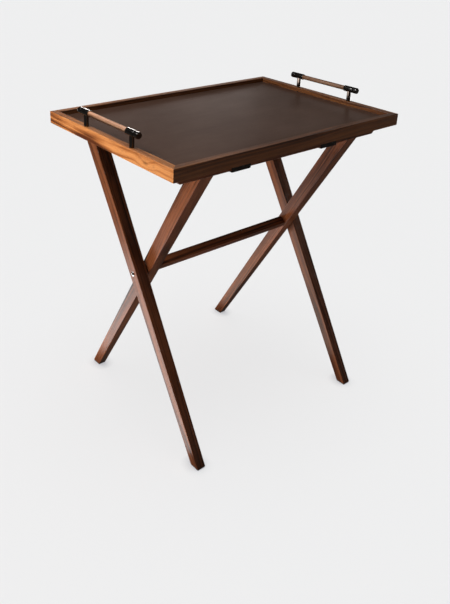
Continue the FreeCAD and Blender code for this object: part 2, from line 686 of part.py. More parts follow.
def build_stand():
    for x_sign, hand in ((LEFT, "left"), (RIGHT, "right")):
        title = hand.title()
        keep("leg_outer_" + hand,
             leg("LegOuter" + title, x_sign, BACK, "outer_leg_offset", True))
        keep("leg_inner_" + hand,
             leg("LegInner" + title, x_sign, FRONT, INNER_LEG_OFFSET, False))
        keep("foot_pad_outer_" + hand,
             foot_pad("PadOuter" + title, x_sign, FRONT, "outer_leg_offset"))
        keep("foot_pad_inner_" + hand,
             foot_pad("PadInner" + title, x_sign, BACK, INNER_LEG_OFFSET))
        keep("pivot_bolt_" + hand, pivot_bolt("PivotBolt" + title, x_sign))
        keep("pivot_spacer_" + hand, pivot_spacer("PivotSpacer" + title, x_sign))
        keep("pivot_insert_" + hand, pivot_insert("PivotInsert" + title, x_sign))
        keep("strap_" + hand, strap("Strap" + title, x_sign))
    for y_sign, word in ((FRONT, "front"), (BACK, "back")):
        title = word.title()
        keep("top_rail_" + word, rail("TopRail" + title, y_sign))
        keep("rail_dowels_" + word, rail_dowels("RailDowels" + title, y_sign))
        keep("strap_screws_" + word, strap_screws("StrapScrews" + title, y_sign))
    keep("stretcher", stretcher())
    keep("stretcher_dowels", stretcher_dowels())


def check_document():
    """Stops on any object that failed to build and on any piece with a bad shape."""
    for obj in doc.Objects:
        if any(state in ("Invalid", "Error") for state in obj.State):
            raise RuntimeError("%s failed: %s" % (obj.Name, obj.State))
    for node, obj in nodes.items():
        if obj.Shape.isNull() or not obj.Shape.isValid() or obj.Shape.Volume <= 0:
            raise RuntimeError("%s has no valid solid" % node)


def export():
    os.makedirs("parts", exist_ok=True)
    for node, obj in nodes.items():
        obj.Shape.exportStep("parts/%s.step" % node)


build_tray()
build_handles()
build_stand()
doc.recompute()
check_document()
export()
box = Part.makeCompound([obj.Shape for obj in nodes.values()]).BoundBox
print("%d pieces, %.1f x %.1f x %.1f mm" % (len(nodes), box.XLength, box.YLength, box.ZLength))
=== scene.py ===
import math

import bmesh
import bpy
from mathutils import Matrix, Vector, noise


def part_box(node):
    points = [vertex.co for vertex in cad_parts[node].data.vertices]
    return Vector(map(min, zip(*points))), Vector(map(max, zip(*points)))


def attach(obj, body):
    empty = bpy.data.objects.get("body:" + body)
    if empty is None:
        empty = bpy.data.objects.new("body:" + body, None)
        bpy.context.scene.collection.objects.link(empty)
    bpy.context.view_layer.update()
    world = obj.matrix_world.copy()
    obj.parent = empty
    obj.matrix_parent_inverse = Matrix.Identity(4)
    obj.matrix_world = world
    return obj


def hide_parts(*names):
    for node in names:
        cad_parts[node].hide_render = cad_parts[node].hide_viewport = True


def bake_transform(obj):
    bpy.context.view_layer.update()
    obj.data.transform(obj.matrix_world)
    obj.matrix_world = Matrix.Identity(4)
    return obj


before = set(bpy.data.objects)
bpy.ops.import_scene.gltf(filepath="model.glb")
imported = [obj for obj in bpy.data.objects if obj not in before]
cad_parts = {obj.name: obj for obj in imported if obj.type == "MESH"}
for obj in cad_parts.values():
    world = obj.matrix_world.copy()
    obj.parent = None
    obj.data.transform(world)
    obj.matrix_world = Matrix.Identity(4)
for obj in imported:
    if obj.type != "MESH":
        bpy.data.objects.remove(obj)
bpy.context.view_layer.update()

# Folding tray table: walnut tray on a folding X stand. Metres, in the CAD model's own frame.
# X runs along the tray's long sides, Y to the back, Z up; the floor is Z = 0.

MM = 0.001
LEFT, RIGHT = -1, 1
FRONT, BACK = -1, 1
HANDS = ((LEFT, "left"), (RIGHT, "right"))
ENDS = ((FRONT, "front"), (BACK, "back"))
X_AXIS, Y_AXIS, Z_AXIS = Vector((1, 0, 0)), Vector((0, 1, 0)), Vector((0, 0, 1))


def middle_of(node):
    low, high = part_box(node)
    return (low + high) / 2


PIVOT = Vector((0, 0, middle_of("pivot_bolt_left").z))


# --- Camera -------------------------------------------------------------------------------

CAMERA_PLACE = (-1.0001, -1.0959, 1.1139)
CAMERA_AZIMUTH = -40.34
CAMERA_ELEVATION = 23.32
CAMERA_ROLL = 2.07
CAMERA_LENS = 41.13
CAMERA_SHIFT = (0.0397, -0.1598)


def make_camera():
    data = bpy.data.cameras.new("camera")
    data.lens = CAMERA_LENS
    data.sensor_width = 36
    data.shift_x, data.shift_y = CAMERA_SHIFT
    camera = bpy.data.objects.new("camera", data)
    bpy.context.scene.collection.objects.link(camera)
    azimuth, elevation = math.radians(CAMERA_AZIMUTH), math.radians(CAMERA_ELEVATION)
    back = Vector((math.sin(azimuth) * math.cos(elevation),
                   -math.cos(azimuth) * math.cos(elevation), math.sin(elevation)))
    right = Z_AXIS.cross(back).normalized()
    up = back.cross(right)
    turn = Matrix((right, up, back)).transposed() @ Matrix.Rotation(math.radians(CAMERA_ROLL), 3, "Z")
    camera.matrix_world = Matrix.Translation(CAMERA_PLACE) @ turn.to_4x4()
    bpy.context.scene.camera = camera


# --- Materials ----------------------------------------------------------------------------


class Graph:
    """One material's nodes, with a short call for each kind that the materials use."""

    def __init__(self, name):
        self.material = bpy.data.materials.new(name)
        self.material.use_nodes = True
        self.tree = self.material.node_tree
        self.tree.nodes.clear()
        self.shader = self.tree.nodes.new("ShaderNodeBsdfPrincipled")
        output = self.tree.nodes.new("ShaderNodeOutputMaterial")
        self.tree.links.new(self.shader.outputs["BSDF"], output.inputs["Surface"])

    def put(self, target, value):
        if isinstance(value, bpy.types.NodeSocket):
            self.tree.links.new(value, target)
        else:
            target.default_value = value

    def set(self, **values):
        """Sets the shader's own sockets: underscores in a name stand for spaces."""
        for name, value in values.items():
            self.put(self.shader.inputs[name.replace("_", " ")], value)

    def coordinates(self, kind="Object"):
        return self.tree.nodes.new("ShaderNodeTexCoord").outputs[kind]

    def mapping(self, vector, scale=(1, 1, 1), rotation=(0, 0, 0), location=(0, 0, 0)):
        node = self.tree.nodes.new("ShaderNodeMapping")
        self.put(node.inputs["Vector"], vector)
        node.inputs["Scale"].default_value = scale
        node.inputs["Rotation"].default_value = rotation
        node.inputs["Location"].default_value = location
        return node.outputs["Vector"]

    def noise(self, vector, scale, detail=2.0, roughness=0.5, distortion=0.0):
        node = self.tree.nodes.new("ShaderNodeTexNoise")
        self.put(node.inputs["Vector"], vector)
        self.put(node.inputs["Scale"], scale)
        self.put(node.inputs["Detail"], detail)
        self.put(node.inputs["Roughness"], roughness)
        self.put(node.inputs["Distortion"], distortion)
        return node

    def noise_line(self, value, scale, detail=2.0, roughness=0.5):
        node = self.tree.nodes.new("ShaderNodeTexNoise")
        node.noise_dimensions = "1D"
        self.put(node.inputs["W"], value)
        self.put(node.inputs["Scale"], scale)
        self.put(node.inputs["Detail"], detail)
        self.put(node.inputs["Roughness"], roughness)
        return node.outputs["Fac"]

    def cells(self, vector, scale, feature="F1", randomness=1.0):
        node = self.tree.nodes.new("ShaderNodeTexVoronoi")
        node.feature = feature
        self.put(node.inputs["Vector"], vector)
        self.put(node.inputs["Scale"], scale)
        self.put(node.inputs["Randomness"], randomness)
        return node.outputs["Distance"]

    def maths(self, operation, first, second=0.0):
        node = self.tree.nodes.new("ShaderNodeMath")
        node.operation = operation
        self.put(node.inputs[0], first)
        self.put(node.inputs[1], second)
        return node.outputs["Value"]

    def vector_maths(self, operation, first, second=(0, 0, 0), scale=1.0):
        node = self.tree.nodes.new("ShaderNodeVectorMath")
        node.operation = operation
        self.put(node.inputs[0], first)
        if operation == "SCALE":
            self.put(node.inputs["Scale"], scale)
        elif operation != "LENGTH":
            self.put(node.inputs[1], second)
        return node.outputs["Value" if operation in ("LENGTH", "DISTANCE", "DOT_PRODUCT") else "Vector"]

    def separate(self, vector):
        node = self.tree.nodes.new("ShaderNodeSeparateXYZ")
        self.put(node.inputs[0], vector)
        return node.outputs

    def span(self, value, low, high, to_low=0.0, to_high=1.0):
        """Maps low..high onto to_low..to_high, and holds the ends."""
        node = self.tree.nodes.new("ShaderNodeMapRange")
        for socket, number in zip(list(node.inputs)[:5], (value, low, high, to_low, to_high)):
            self.put(socket, number)
        return node.outputs["Result"]

    def ramp(self, value, stops):
        """Colours along a value; each stop is (place, colour)."""
        node = self.tree.nodes.new("ShaderNodeValToRGB")
        self.put(node.inputs["Fac"], value)
        elements = node.color_ramp.elements
        while len(elements) < len(stops):
            elements.new(0.5)
        for element, (place, colour) in zip(elements, stops):
            element.position = place
            element.color = (*colour, 1)
        return node.outputs["Color"]

    def mix(self, share, first, second):
        node = self.tree.nodes.new("ShaderNodeMix")
        node.data_type = "RGBA"
        node.clamp_factor = True
        self.put(node.inputs["Factor"], share)
        colours = [s for s in node.inputs if s.type == "RGBA"]
        for socket, value in zip(colours, (first, second)):
            self.put(socket, value if isinstance(value, bpy.types.NodeSocket) else (*value, 1))
        return next(s for s in node.outputs if s.type == "RGBA")

    def bump(self, height, distance, strength=1.0, normal=None):
        node = self.tree.nodes.new("ShaderNodeBump")
        node.inputs["Strength"].default_value = strength
        node.inputs["Distance"].default_value = distance
        self.put(node.inputs["Height"], height)
        if normal is not None:
            self.put(node.inputs["Normal"], normal)
        return node.outputs["Normal"]

    def rounded_normal(self, radius):
        """The surface's direction as if its edges were rounded to a radius."""
        bevel = self.tree.nodes.new("ShaderNodeBevel")
        bevel.samples = 4
        bevel.inputs["Radius"].default_value = radius
        return bevel.outputs["Normal"]

    def edges(self, radius):
        """1 on the piece's outer edges and 0 away from them."""
        geometry = self.tree.nodes.new("ShaderNodeNewGeometry")
        flat = geometry.outputs["Normal"]
        likeness = self.vector_maths("DOT_PRODUCT", self.rounded_normal(radius), flat)
        return self.span(likeness, 0.98, 0.80)


# Wood. Noise scales are per metre, along the grain and then across it; shares add up to the tone.
EDGE_EASING = 0.7 * MM
WORN_EDGE = 1.6 * MM
DRIFT_SCALE = (1.6, 7, 7)
DRIFT_REACH = 45 * MM
RAGGED_REACH = 60 * MM
RING_SCALE, RING_SHARE = 210.0, 0.56
BROAD_SCALE, BROAD_SHARE = (3, 34, 34), 0.62
FIBRE_SCALE, FIBRE_SHARE = (14, 620, 620), 0.34
TONE_SHIFT = 0.26
PORE_SCALE, PORE_DEPTH = (110, 2900, 2900), 0.55
KNOT_SHAPE, KNOT_REACH, KNOT_SWELL = (1, 0.6, 1.3), 22 * MM, 9 * MM
KNOT_CORE = (1 * MM, 6 * MM)
PORE_RELIEF = 0.12 * MM
TONE_STOPS = (0.34, 0.48, 0.62)


def wood(name, along, pith, dark, mid, light, roughness=0.42, coat=0.0, knot=None, streaks=()):
    """Straight-grained wood. along is the grain's direction; pith moves the tree's centre.

    The rings are cylinders about the pith, warped by slow noise, so that each face of a piece
    shows its own cut through them; fibres and open pores run along the grain. A knot bends the
    rings round itself. Each streak is a (place, half size, depth) of darker heartwood, or of
    paler wood if its depth is below zero.
    """
    graph = Graph(name)
    place = graph.coordinates()
    turn = Vector(along).normalized().rotation_difference(X_AXIS).to_euler()
    grain = graph.mapping(place, rotation=turn, location=pith)
    drift = graph.noise(graph.mapping(grain, scale=DRIFT_SCALE), 1.0, 2.0)
    drift = graph.vector_maths("SUBTRACT", drift.outputs["Color"], (0.5, 0.5, 0.5))
    warped = graph.vector_maths("ADD", grain, graph.vector_maths("SCALE", drift, scale=DRIFT_REACH))
    radius = graph.vector_maths("LENGTH", graph.mapping(warped, scale=(0, 1, 1)))
    if knot is not None:
        centred = graph.mapping(graph.vector_maths("SUBTRACT", place, knot), scale=KNOT_SHAPE)
        knot_distance = graph.vector_maths("LENGTH", centred)
        swell = graph.span(knot_distance, 0.0, KNOT_REACH, KNOT_SWELL, 0.0)
        radius = graph.maths("ADD", radius, swell)
    rings = graph.noise_line(radius, RING_SCALE, 3.0, 0.55)
    broad = graph.noise(graph.mapping(warped, scale=BROAD_SCALE), 1.0, 3.0).outputs["Fac"]
    fibres = graph.noise(graph.mapping(warped, scale=FIBRE_SCALE), 1.0, 3.0, 0.6).outputs["Fac"]
    tone = graph.maths("MULTIPLY", rings, RING_SHARE)
    tone = graph.maths("ADD", tone, graph.maths("MULTIPLY", broad, BROAD_SHARE))
    tone = graph.maths("ADD", tone, graph.maths("MULTIPLY", fibres, FIBRE_SHARE))
    tone = graph.maths("SUBTRACT", tone, TONE_SHIFT)
    ragged = graph.vector_maths("ADD", place, graph.vector_maths("SCALE", drift, scale=RAGGED_REACH))
    for middle, half, depth in streaks:
        reach = [1 / h for h in half]
        centred = graph.mapping(ragged, scale=reach, location=[-m * r for m, r in zip(middle, reach)])
        fade = graph.span(graph.vector_maths("LENGTH", centred), 0.3, 1.0, 1.0, 0.0)
        tone = graph.maths("SUBTRACT", tone, graph.maths("MULTIPLY", fade, depth))
    colour = graph.ramp(tone, list(zip(TONE_STOPS, (dark, mid, light))))
    pores = graph.noise(graph.mapping(grain, scale=PORE_SCALE), 1.0, 1.0).outputs["Fac"]
    pores = graph.span(pores, 0.60, 0.70)
    colour = graph.mix(graph.maths("MULTIPLY", pores, PORE_DEPTH), colour, [c * 0.25 for c in dark])
    if knot is not None:
        core = graph.span(knot_distance, *KNOT_CORE, 0.6, 0.0)
        colour = graph.mix(core, colour, [c * 0.6 for c in dark])
    rubbed = graph.maths("MULTIPLY", graph.edges(WORN_EDGE), graph.span(broad, 0.42, 0.62))
    colour = graph.mix(graph.maths("MULTIPLY", rubbed, 0.35), colour, [min(1, c * 1.5) for c in light])
    gloss = graph.maths("ADD", graph.span(fibres, 0.3, 0.7, roughness - 0.06, roughness + 0.07),
                        graph.maths("MULTIPLY", pores, 0.18))
    gloss = graph.maths("ADD", gloss, graph.maths("MULTIPLY", rubbed, -0.08))
    relief = graph.maths("SUBTRACT", graph.maths("MULTIPLY", fibres, 0.35), pores)
    eased = graph.rounded_normal(EDGE_EASING)
    graph.set(Base_Color=colour, Roughness=gloss, Normal=graph.bump(relief, PORE_RELIEF, 0.6, eased))
    graph.set(IOR=1.48, Coat_Weight=coat, Coat_Roughness=0.3)
    return graph.material


def leather():
    """Smooth dark brown leather with a fine pebble, faint mottling and rubbed high spots."""
    graph = Graph("leather")
    place = graph.coordinates()
    cloud = graph.noise(graph.mapping(place, scale=(5, 9, 1)), 1.0, 4.0, 0.6).outputs["Fac"]
    strokes = graph.noise(graph.mapping(place, scale=(9, 260, 1)), 1.0, 3.0, 0.6).outputs["Fac"]
    tone = graph.maths("ADD", graph.maths("MULTIPLY", cloud, 0.7), graph.maths("MULTIPLY", strokes, 0.3))
    colour = graph.ramp(tone, [(0.30, (0.040, 0.0195, 0.0125)), (0.52, (0.054, 0.0275, 0.0180)),
                               (0.72, (0.070, 0.038, 0.0260))])
    pebble = graph.cells(place, 1150.0, "SMOOTH_F1")
    creases = graph.cells(graph.mapping(place, scale=(1, 1, 0.2)), 420.0, "DISTANCE_TO_EDGE")
    creases = graph.span(creases, 0.0, 0.12)
    relief = graph.maths("MULTIPLY", creases, 0.6)
    relief = graph.maths("ADD", relief, graph.maths("MULTIPLY", pebble, -0.5))
    gloss = graph.span(tone, 0.3, 0.7, 0.34, 0.27)
    graph.set(Base_Color=colour, Roughness=gloss, Normal=graph.bump(relief, 0.05 * MM, 0.6))
    graph.set(Specular_IOR_Level=0.18, Sheen_Weight=0.03, Sheen_Roughness=0.4)
    return graph.material


def metal(name, colour, worn, roughness, haze=0.05):
    """Plated metal: polishing haze, hairlines round the piece, and brighter rubbed edges."""
    graph = Graph(name)
    place = graph.coordinates()
    cloud = graph.noise(place, 90.0, 3.0).outputs["Fac"]
    hairlines = graph.noise(graph.mapping(place, scale=(300, 300, 4200)), 1.0, 2.0).outputs["Fac"]
    rubbed = graph.maths("MULTIPLY", graph.edges(0.5 * MM), graph.span(cloud, 0.40, 0.60))
    tinted = graph.mix(graph.span(cloud, 0.35, 0.65), colour, [c * 1.18 for c in colour])
    shade = graph.mix(graph.maths("MULTIPLY", rubbed, 0.6), tinted, worn)
    gloss = graph.span(cloud, 0.3, 0.7, roughness, roughness + haze)
    graph.set(Base_Color=shade, Metallic=1.0, Roughness=gloss)
    graph.set(Normal=graph.bump(hairlines, 0.01 * MM, 0.25))
    return graph.material


def moulded(name, colour, roughness):
    """Moulded plastic or rubber with a fine spark-eroded texture."""
    graph = Graph(name)
    place = graph.coordinates()
    grain = graph.noise(place, 1800.0, 2.0).outputs["Fac"]
    cloud = graph.noise(place, 60.0, 3.0).outputs["Fac"]
    shade = graph.mix(graph.span(cloud, 0.3, 0.7), colour, [c * 1.35 for c in colour])
    gloss = graph.span(grain, 0.3, 0.7, roughness - 0.06, roughness + 0.06)
    graph.set(Base_Color=shade, Roughness=gloss, Normal=graph.bump(grain, 0.04 * MM, 0.5))
    return graph.material


def felt():
    """Dense dark felt with matted fibres."""
    graph = Graph("felt")
    place = graph.coordinates()
    fibres = graph.noise(place, 900.0, 5.0, 0.7, 1.5).outputs["Fac"]
    colour = graph.ramp(fibres, [(0.3, (0.016, 0.012, 0.010)), (0.7, (0.060, 0.048, 0.040))])
    graph.set(Base_Color=colour, Roughness=0.95, Normal=graph.bump(fibres, 0.3 * MM, 0.7))
    graph.set(Sheen_Weight=0.3, Sheen_Roughness=0.5)
    return graph.material


RIB_PITCH = 1.7 * MM
PICK_PITCH = 1.25 * MM


def webbing():
    """Black woven webbing: ribs along the strap crossed by picks. The mesh's U and V are metres."""
    graph = Graph("webbing")
    across, along, _ = graph.separate(graph.coordinates("UV"))
    rib = graph.maths("SINE", graph.maths("MULTIPLY", across, 2 * math.pi / RIB_PITCH))
    rib_index = graph.maths("ROUND", graph.maths("MULTIPLY", across, 1 / RIB_PITCH))
    shift = graph.maths("MULTIPLY", rib_index, math.pi)
    pick = graph.maths("MULTIPLY", along, 2 * math.pi / PICK_PITCH)
    pick = graph.maths("SINE", graph.maths("ADD", pick, shift))
    weave = graph.maths("ADD", graph.maths("MULTIPLY", rib, 0.5), graph.maths("MULTIPLY", pick, 0.5))
    fuzz = graph.noise(graph.coordinates(), 2600.0, 3.0, 0.6).outputs["Fac"]
    cloud = graph.noise(graph.coordinates(), 40.0, 3.0).outputs["Fac"]
    tone = graph.maths("ADD", graph.span(weave, -1, 1, 0.0, 0.6), graph.maths("MULTIPLY", fuzz, 0.4))
    colour = graph.ramp(tone, [(0.2, (0.002, 0.002, 0.0022)), (0.6, (0.007, 0.007, 0.0075)),
                               (0.9, (0.018, 0.018, 0.019))])
    relief = graph.maths("ADD", weave, graph.maths("MULTIPLY", fuzz, 0.3))
    graph.set(Base_Color=colour, Roughness=graph.span(cloud, 0.3, 0.7, 0.62, 0.78))
    graph.set(Normal=graph.bump(relief, 0.18 * MM, 0.9), Specular_IOR_Level=0.25)
    graph.set(Sheen_Weight=0.05, Sheen_Roughness=0.4)
    return graph.material


# Wood tones, dark, middle and light, in linear RGB. The tray's left end is the palest board.
TRAY_TONES = ((0.045, 0.0130, 0.0035), (0.150, 0.050, 0.0145), (0.240, 0.090, 0.028))
PALE_TONES = ((0.055, 0.0130, 0.0034), (0.240, 0.078, 0.0200), (0.400, 0.158, 0.048))
STAND_TONES = ((0.012, 0.0029, 0.0010), (0.072, 0.0203, 0.0068), (0.142, 0.044, 0.0158))
LACQUER = 0.3
# Painted light: the inner legs get paler tones than the outer ones, standing in for light that reaches
# them.
LEG_PAINTED_BRIGHTNESS = {"outer_left": 1.0, "outer_right": 1.0, "inner_left": 1.2, "inner_right": 1.35}
BAR_TONES = ((0.070, 0.0300, 0.0140), (0.170, 0.082, 0.0430), (0.260, 0.140, 0.080))
PLY_TONES = ((0.060, 0.0260, 0.0120), (0.120, 0.055, 0.0250), (0.170, 0.085, 0.042))
BEECH_TONES = ((0.360, 0.2300, 0.1300), (0.520, 0.360, 0.2200), (0.600, 0.440, 0.290))


def paler(tones, share):
    return [[channel * share for channel in tone] for tone in tones]


def leg_direction(foot_pad):
    """The centre line of a leg, from its foot to the pivot."""
    rise = PIVOT - middle_of(foot_pad)
    return Vector((0, rise.y, rise.z)).normalized()


def paint(node, material):
    """Gives a CAD piece its material."""
    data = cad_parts[node].data
    if not data.materials:
        data.materials.append(material)
    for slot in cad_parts[node].material_slots:
        slot.material = material


def paint_wood():
    """Each board gets its own grain direction, its own place in the tree and its own tones; the inner
    legs' and the stretcher's paler tones are painted light.
    """
    low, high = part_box("tray_end_left")
    knot = Vector((low.x, low.y + 0.19 * (high.y - low.y), (low.z + high.z) / 2))
    streaks = [((low.x, 0.060, low.z + 9 * MM), (0.05, 0.090, 0.018), 0.30),
               ((low.x, high.y - 25 * MM, low.z + 12 * MM), (0.05, 0.070, 0.030), 0.10),
               ((low.x, low.y + 40 * MM, low.z + 10 * MM), (0.05, 0.120, 0.040), -0.10)]
    boards = {
        "tray_side_front": ((1, 0.006, 0.004), (0.3, 0.31, -0.62), paler(TRAY_TONES, 0.75)),
        "tray_side_back": ((1, -0.005, 0.004), (0.9, -0.12, -0.77), TRAY_TONES),
        "tray_end_right": ((-0.006, 1, 0.004), (1.4, 0.22, -0.58), TRAY_TONES),
        "top_rail_front": ((1, 0.010, 0.002), (2.1, 0.35, -0.55), STAND_TONES),
        "top_rail_back": ((1, -0.008, 0.003), (2.8, -0.02, -0.58), STAND_TONES),
        # Painted light: the stretcher's stand tones are doubled to brighten it where it sits in the
        # tray's shade.
        "stretcher": ((1, 0.006, 0.008), (3.3, 0.11, -0.27), paler(STAND_TONES, 2.0)),
    }
    for node, (along, pith, tones) in boards.items():
        lacquer = LACQUER if node in ("tray_side_front", "tray_end_right") else 0.0
        paint(node, wood(node + "_walnut", along, pith, *tones, roughness=0.34, coat=lacquer))
    paint("tray_end_left", wood("tray_end_left_walnut", (0.004, 1, 0.006), (0.2, -0.41, -0.60),
                                *PALE_TONES, roughness=0.34, knot=knot, streaks=streaks))
    # Each leg's tone share is painted light for the inner legs, not a difference in the wood.
    for index, (leg, painted_brightness) in enumerate(LEG_PAINTED_BRIGHTNESS.items()):
        along = leg_direction("foot_pad_" + leg) + Vector((0.006, 0.004, 0))
        pith = (0.7 * index, 0.14 + 0.05 * index, 0.06 - 0.03 * index)
        tones = paler(STAND_TONES, painted_brightness)
        paint("leg_" + leg, wood("leg_%s_walnut" % leg, along, pith, *tones, roughness=0.32))
    paint("tray_panel", wood("tray_panel_veneer", (1, 0.01, 0), (0.4, 0.1, -0.3), *PLY_TONES,
                             roughness=0.5))
    beech = wood("beech", X_AXIS, (0.1, 0.2, 0.3), *BEECH_TONES, roughness=0.55)
    for node in ("mitre_splines", "rail_dowels_front", "rail_dowels_back", "stretcher_dowels"):
        paint(node, beech)


# --- Mesh building ------------------------------------------------------------------------


def new_piece(name, mesh_data, material, body=None, sharp=math.radians(35)):
    """A shaded piece of the object, riding on a CAD body if one is named."""
    piece = bpy.data.objects.new(name, mesh_data)
    bpy.context.scene.collection.objects.link(piece)
    mesh_data.shade_smooth()
    mesh_data.set_sharp_from_angle(angle=sharp)
    mesh_data.materials.append(material)
    if body:
        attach(piece, body)
    return piece


def rounded(points, radii, steps=6):
    """A 2-D path whose inner corners are arcs; radii has one radius for each inner corner."""
    path = [Vector(points[0])]
    for before, corner, after, radius in zip(points, points[1:], points[2:], radii):
        before, corner, after = Vector(before), Vector(corner), Vector(after)
        if radius <= 0:
            path.append(corner)
            continue
        inwards, outwards = (before - corner).normalized(), (after - corner).normalized()
        half = inwards.angle(outwards) / 2
        centre = corner + (inwards + outwards).normalized() * (radius / math.sin(half))
        start = corner + inwards * (radius / math.tan(half)) - centre
        end = corner + outwards * (radius / math.tan(half)) - centre
        swing = math.atan2(start.x * end.y - start.y * end.x, start.dot(end))
        for i in range(steps + 1):
            angle = swing * i / steps
            path.append(centre + Vector((start.x * math.cos(angle) - start.y * math.sin(angle),
                                         start.x * math.sin(angle) + start.y * math.cos(angle))))
    path.append(Vector(points[-1]))
    return path


def round_outline(angle):
    return 1.0


def hexagon_outline(angle):
    """A hexagon's reach, as a share of its corner radius."""
    sector = math.radians(60)
    return math.cos(sector / 2) / math.cos(angle % sector - sector / 2)


CROSS_ARM_HALF = 0.26


def cross_outline(angle):
    """A driver cross's reach: four arms, each about half as wide as it is long."""
    quarter = math.radians(90)
    from_arm = abs((angle + quarter / 2) % quarter - quarter / 2)
    return min(1.0, CROSS_ARM_HALF / max(math.sin(from_arm), 1e-6))


def turned(mesh, profile, axis, centre, steps=72):
    """Adds a closed turned solid to a bmesh. profile is (along, radius, outline) rings."""
    axis = Vector(axis).normalized()
    first = axis.orthogonal().normalized()
    second = axis.cross(first)
    rings = []
    for along, radius, outline in profile:
        base = Vector(centre) + axis * along
        if radius == 0:
            rings.append([mesh.verts.new(base)])
            continue
        ring = []
        for i in range(steps):
            angle = 2 * math.pi * i / steps
            reach = radius * outline(angle)
            spoke = first * math.cos(angle) + second * math.sin(angle)
            ring.append(mesh.verts.new(base + spoke * reach))
        rings.append(ring)
    for lower, upper in zip(rings, rings[1:]):
        for i in range(steps):
            j = (i + 1) % steps
            if len(lower) == 1:
                mesh.faces.new((lower[0], upper[j], upper[i]))
            elif len(upper) == 1:
                mesh.faces.new((lower[i], lower[j], upper[0]))
            else:
                mesh.faces.new((lower[i], lower[j], upper[j], upper[i]))
    return rings


def plain(profile):
    """Round rings from (along, radius) points."""
    return [(along, radius, round_outline) for along, radius in profile]


def finished(mesh, name):
    """The bmesh as mesh data, its faces turned outwards."""
    bmesh.ops.recalc_face_normals(mesh, faces=mesh.faces)
    data = bpy.data.meshes.new(name)
    mesh.to_mesh(data)
    mesh.free()
    return data


# --- Handles ------------------------------------------------------------------------------

EDGE = 0.35 * MM


def build_post(name, material):
    """A post whose top is hollowed to fit under the sleeve."""
    low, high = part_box("handle_post_" + name)
    bar = middle_of("handle_sleeve_" + name)
    sleeve_low, sleeve_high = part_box("handle_sleeve_" + name)
    sleeve_radius = (sleeve_high.x - sleeve_low.x) / 2
    radius, centre = (high.x - low.x) / 2, (low + high) / 2
    height = high.z - low.z
    mesh = bmesh.new()
    foot = rounded([(0, 0), (0, radius), (height, radius)], [EDGE])[:-1]
    profile = [(0, 0)] + [tuple(p) for p in foot[1:]]
    profile += [(height / 2, radius), (height, radius), (height, 0)]
    rings = turned(mesh, plain(profile), Z_AXIS, (centre.x, centre.y, low.z))
    for vertex in rings[-2] + rings[-1]:
        across = vertex.co.x - centre.x
        vertex.co.z = bar.z - math.sqrt(sleeve_radius ** 2 - across ** 2)
    piece = new_piece("post_" + name, finished(mesh, "post"), material, "tray")
    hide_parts("handle_post_" + name)
    return piece


def build_sleeve(name, material):
    """A tube round the bar with softened rims."""
    low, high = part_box("handle_sleeve_" + name)
    bar_low, bar_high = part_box("handle_bar_" + name.split("_")[0])
    outer, inner = (high.x - low.x) / 2, (bar_high.x - bar_low.x) / 2
    length, centre = high.y - low.y, (low + high) / 2
    corners = [(length / 2, inner), (0, inner), (0, outer), (length, outer), (length, inner),
               (length / 2, inner)]
    profile = rounded(corners, [EDGE / 2, EDGE, EDGE, EDGE / 2])
    mesh = bmesh.new()
    rings = turned(mesh, plain([tuple(p) for p in profile]), Y_AXIS, (centre.x, low.y, centre.z))
    bmesh.ops.remove_doubles(mesh, verts=rings[0] + rings[-1], dist=1e-7)
    piece = new_piece("sleeve_" + name, finished(mesh, "sleeve"), material, "tray")
    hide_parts("handle_sleeve_" + name)
    return piece


CAP_NECK = 1.6 * MM
CAP_NECK_RADIUS = 5.4 * MM
CAP_NECK_EASING = 0.3 * MM
CAP_SHOULDER = 0.4 * MM
CAP_EDGE = 0.9 * MM
CAP_DOME = 0.1 * MM


def build_cap(name, end, material):
    """The knob on the bar's end: a neck, then a cylinder with a softly domed face."""
    low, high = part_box("handle_cap_" + name)
    radius, length, centre = (high.x - low.x) / 2, high.y - low.y, (low + high) / 2
    start = low.y if end == BACK else high.y
    face = length - CAP_DOME
    corners = [(0, 0), (0, CAP_NECK_RADIUS), (CAP_NECK, CAP_NECK_RADIUS), (CAP_NECK, radius),
               (face, radius), (length, 0)]
    profile = rounded(corners, [0, CAP_NECK_EASING, CAP_SHOULDER, CAP_EDGE])
    mesh = bmesh.new()
    turned(mesh, plain([tuple(p) for p in profile]), Y_AXIS * end, (centre.x, start, centre.z))
    piece = new_piece("cap_" + name, finished(mesh, "cap"), material, "tray")
    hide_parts("handle_cap_" + name)
    return piece


BAR_STEPS = 24


def build_bar(hand, pith):
    """The wooden rod, turned from one piece."""
    low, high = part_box("handle_bar_" + hand)
    radius, length, centre = (high.x - low.x) / 2, high.y - low.y, (low + high) / 2
    rings = [(length * i / BAR_STEPS, radius) for i in range(BAR_STEPS + 1)]
    mesh = bmesh.new()
    turned(mesh, plain([(0, 0)] + rings + [(length, 0)]), Y_AXIS, (centre.x, low.y, centre.z))
    material = wood("bar_%s_walnut" % hand, (0.01, 1, 0.01), pith, *BAR_TONES,
                    roughness=0.34, coat=LACQUER)
    piece = new_piece("bar_" + hand, finished(mesh, "bar"), material, "tray")
    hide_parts("handle_bar_" + hand)
    return piece


def build_handles(nickel):
    """Both handles; returns each one's pieces, the bar first."""
    handles = {}
    for x_sign, hand in HANDS:
        handles[hand] = [build_bar(hand, (0.2, 0.30 + 0.1 * x_sign, -0.70))]
        for end, word in ENDS:
            name = "%s_%s" % (hand, word)
            handles[hand] += [build_post(name, nickel), build_sleeve(name, nickel),
                              build_cap(name, end, nickel)]
    return handles


# --- Fasteners ----------------------------------------------------------------------------


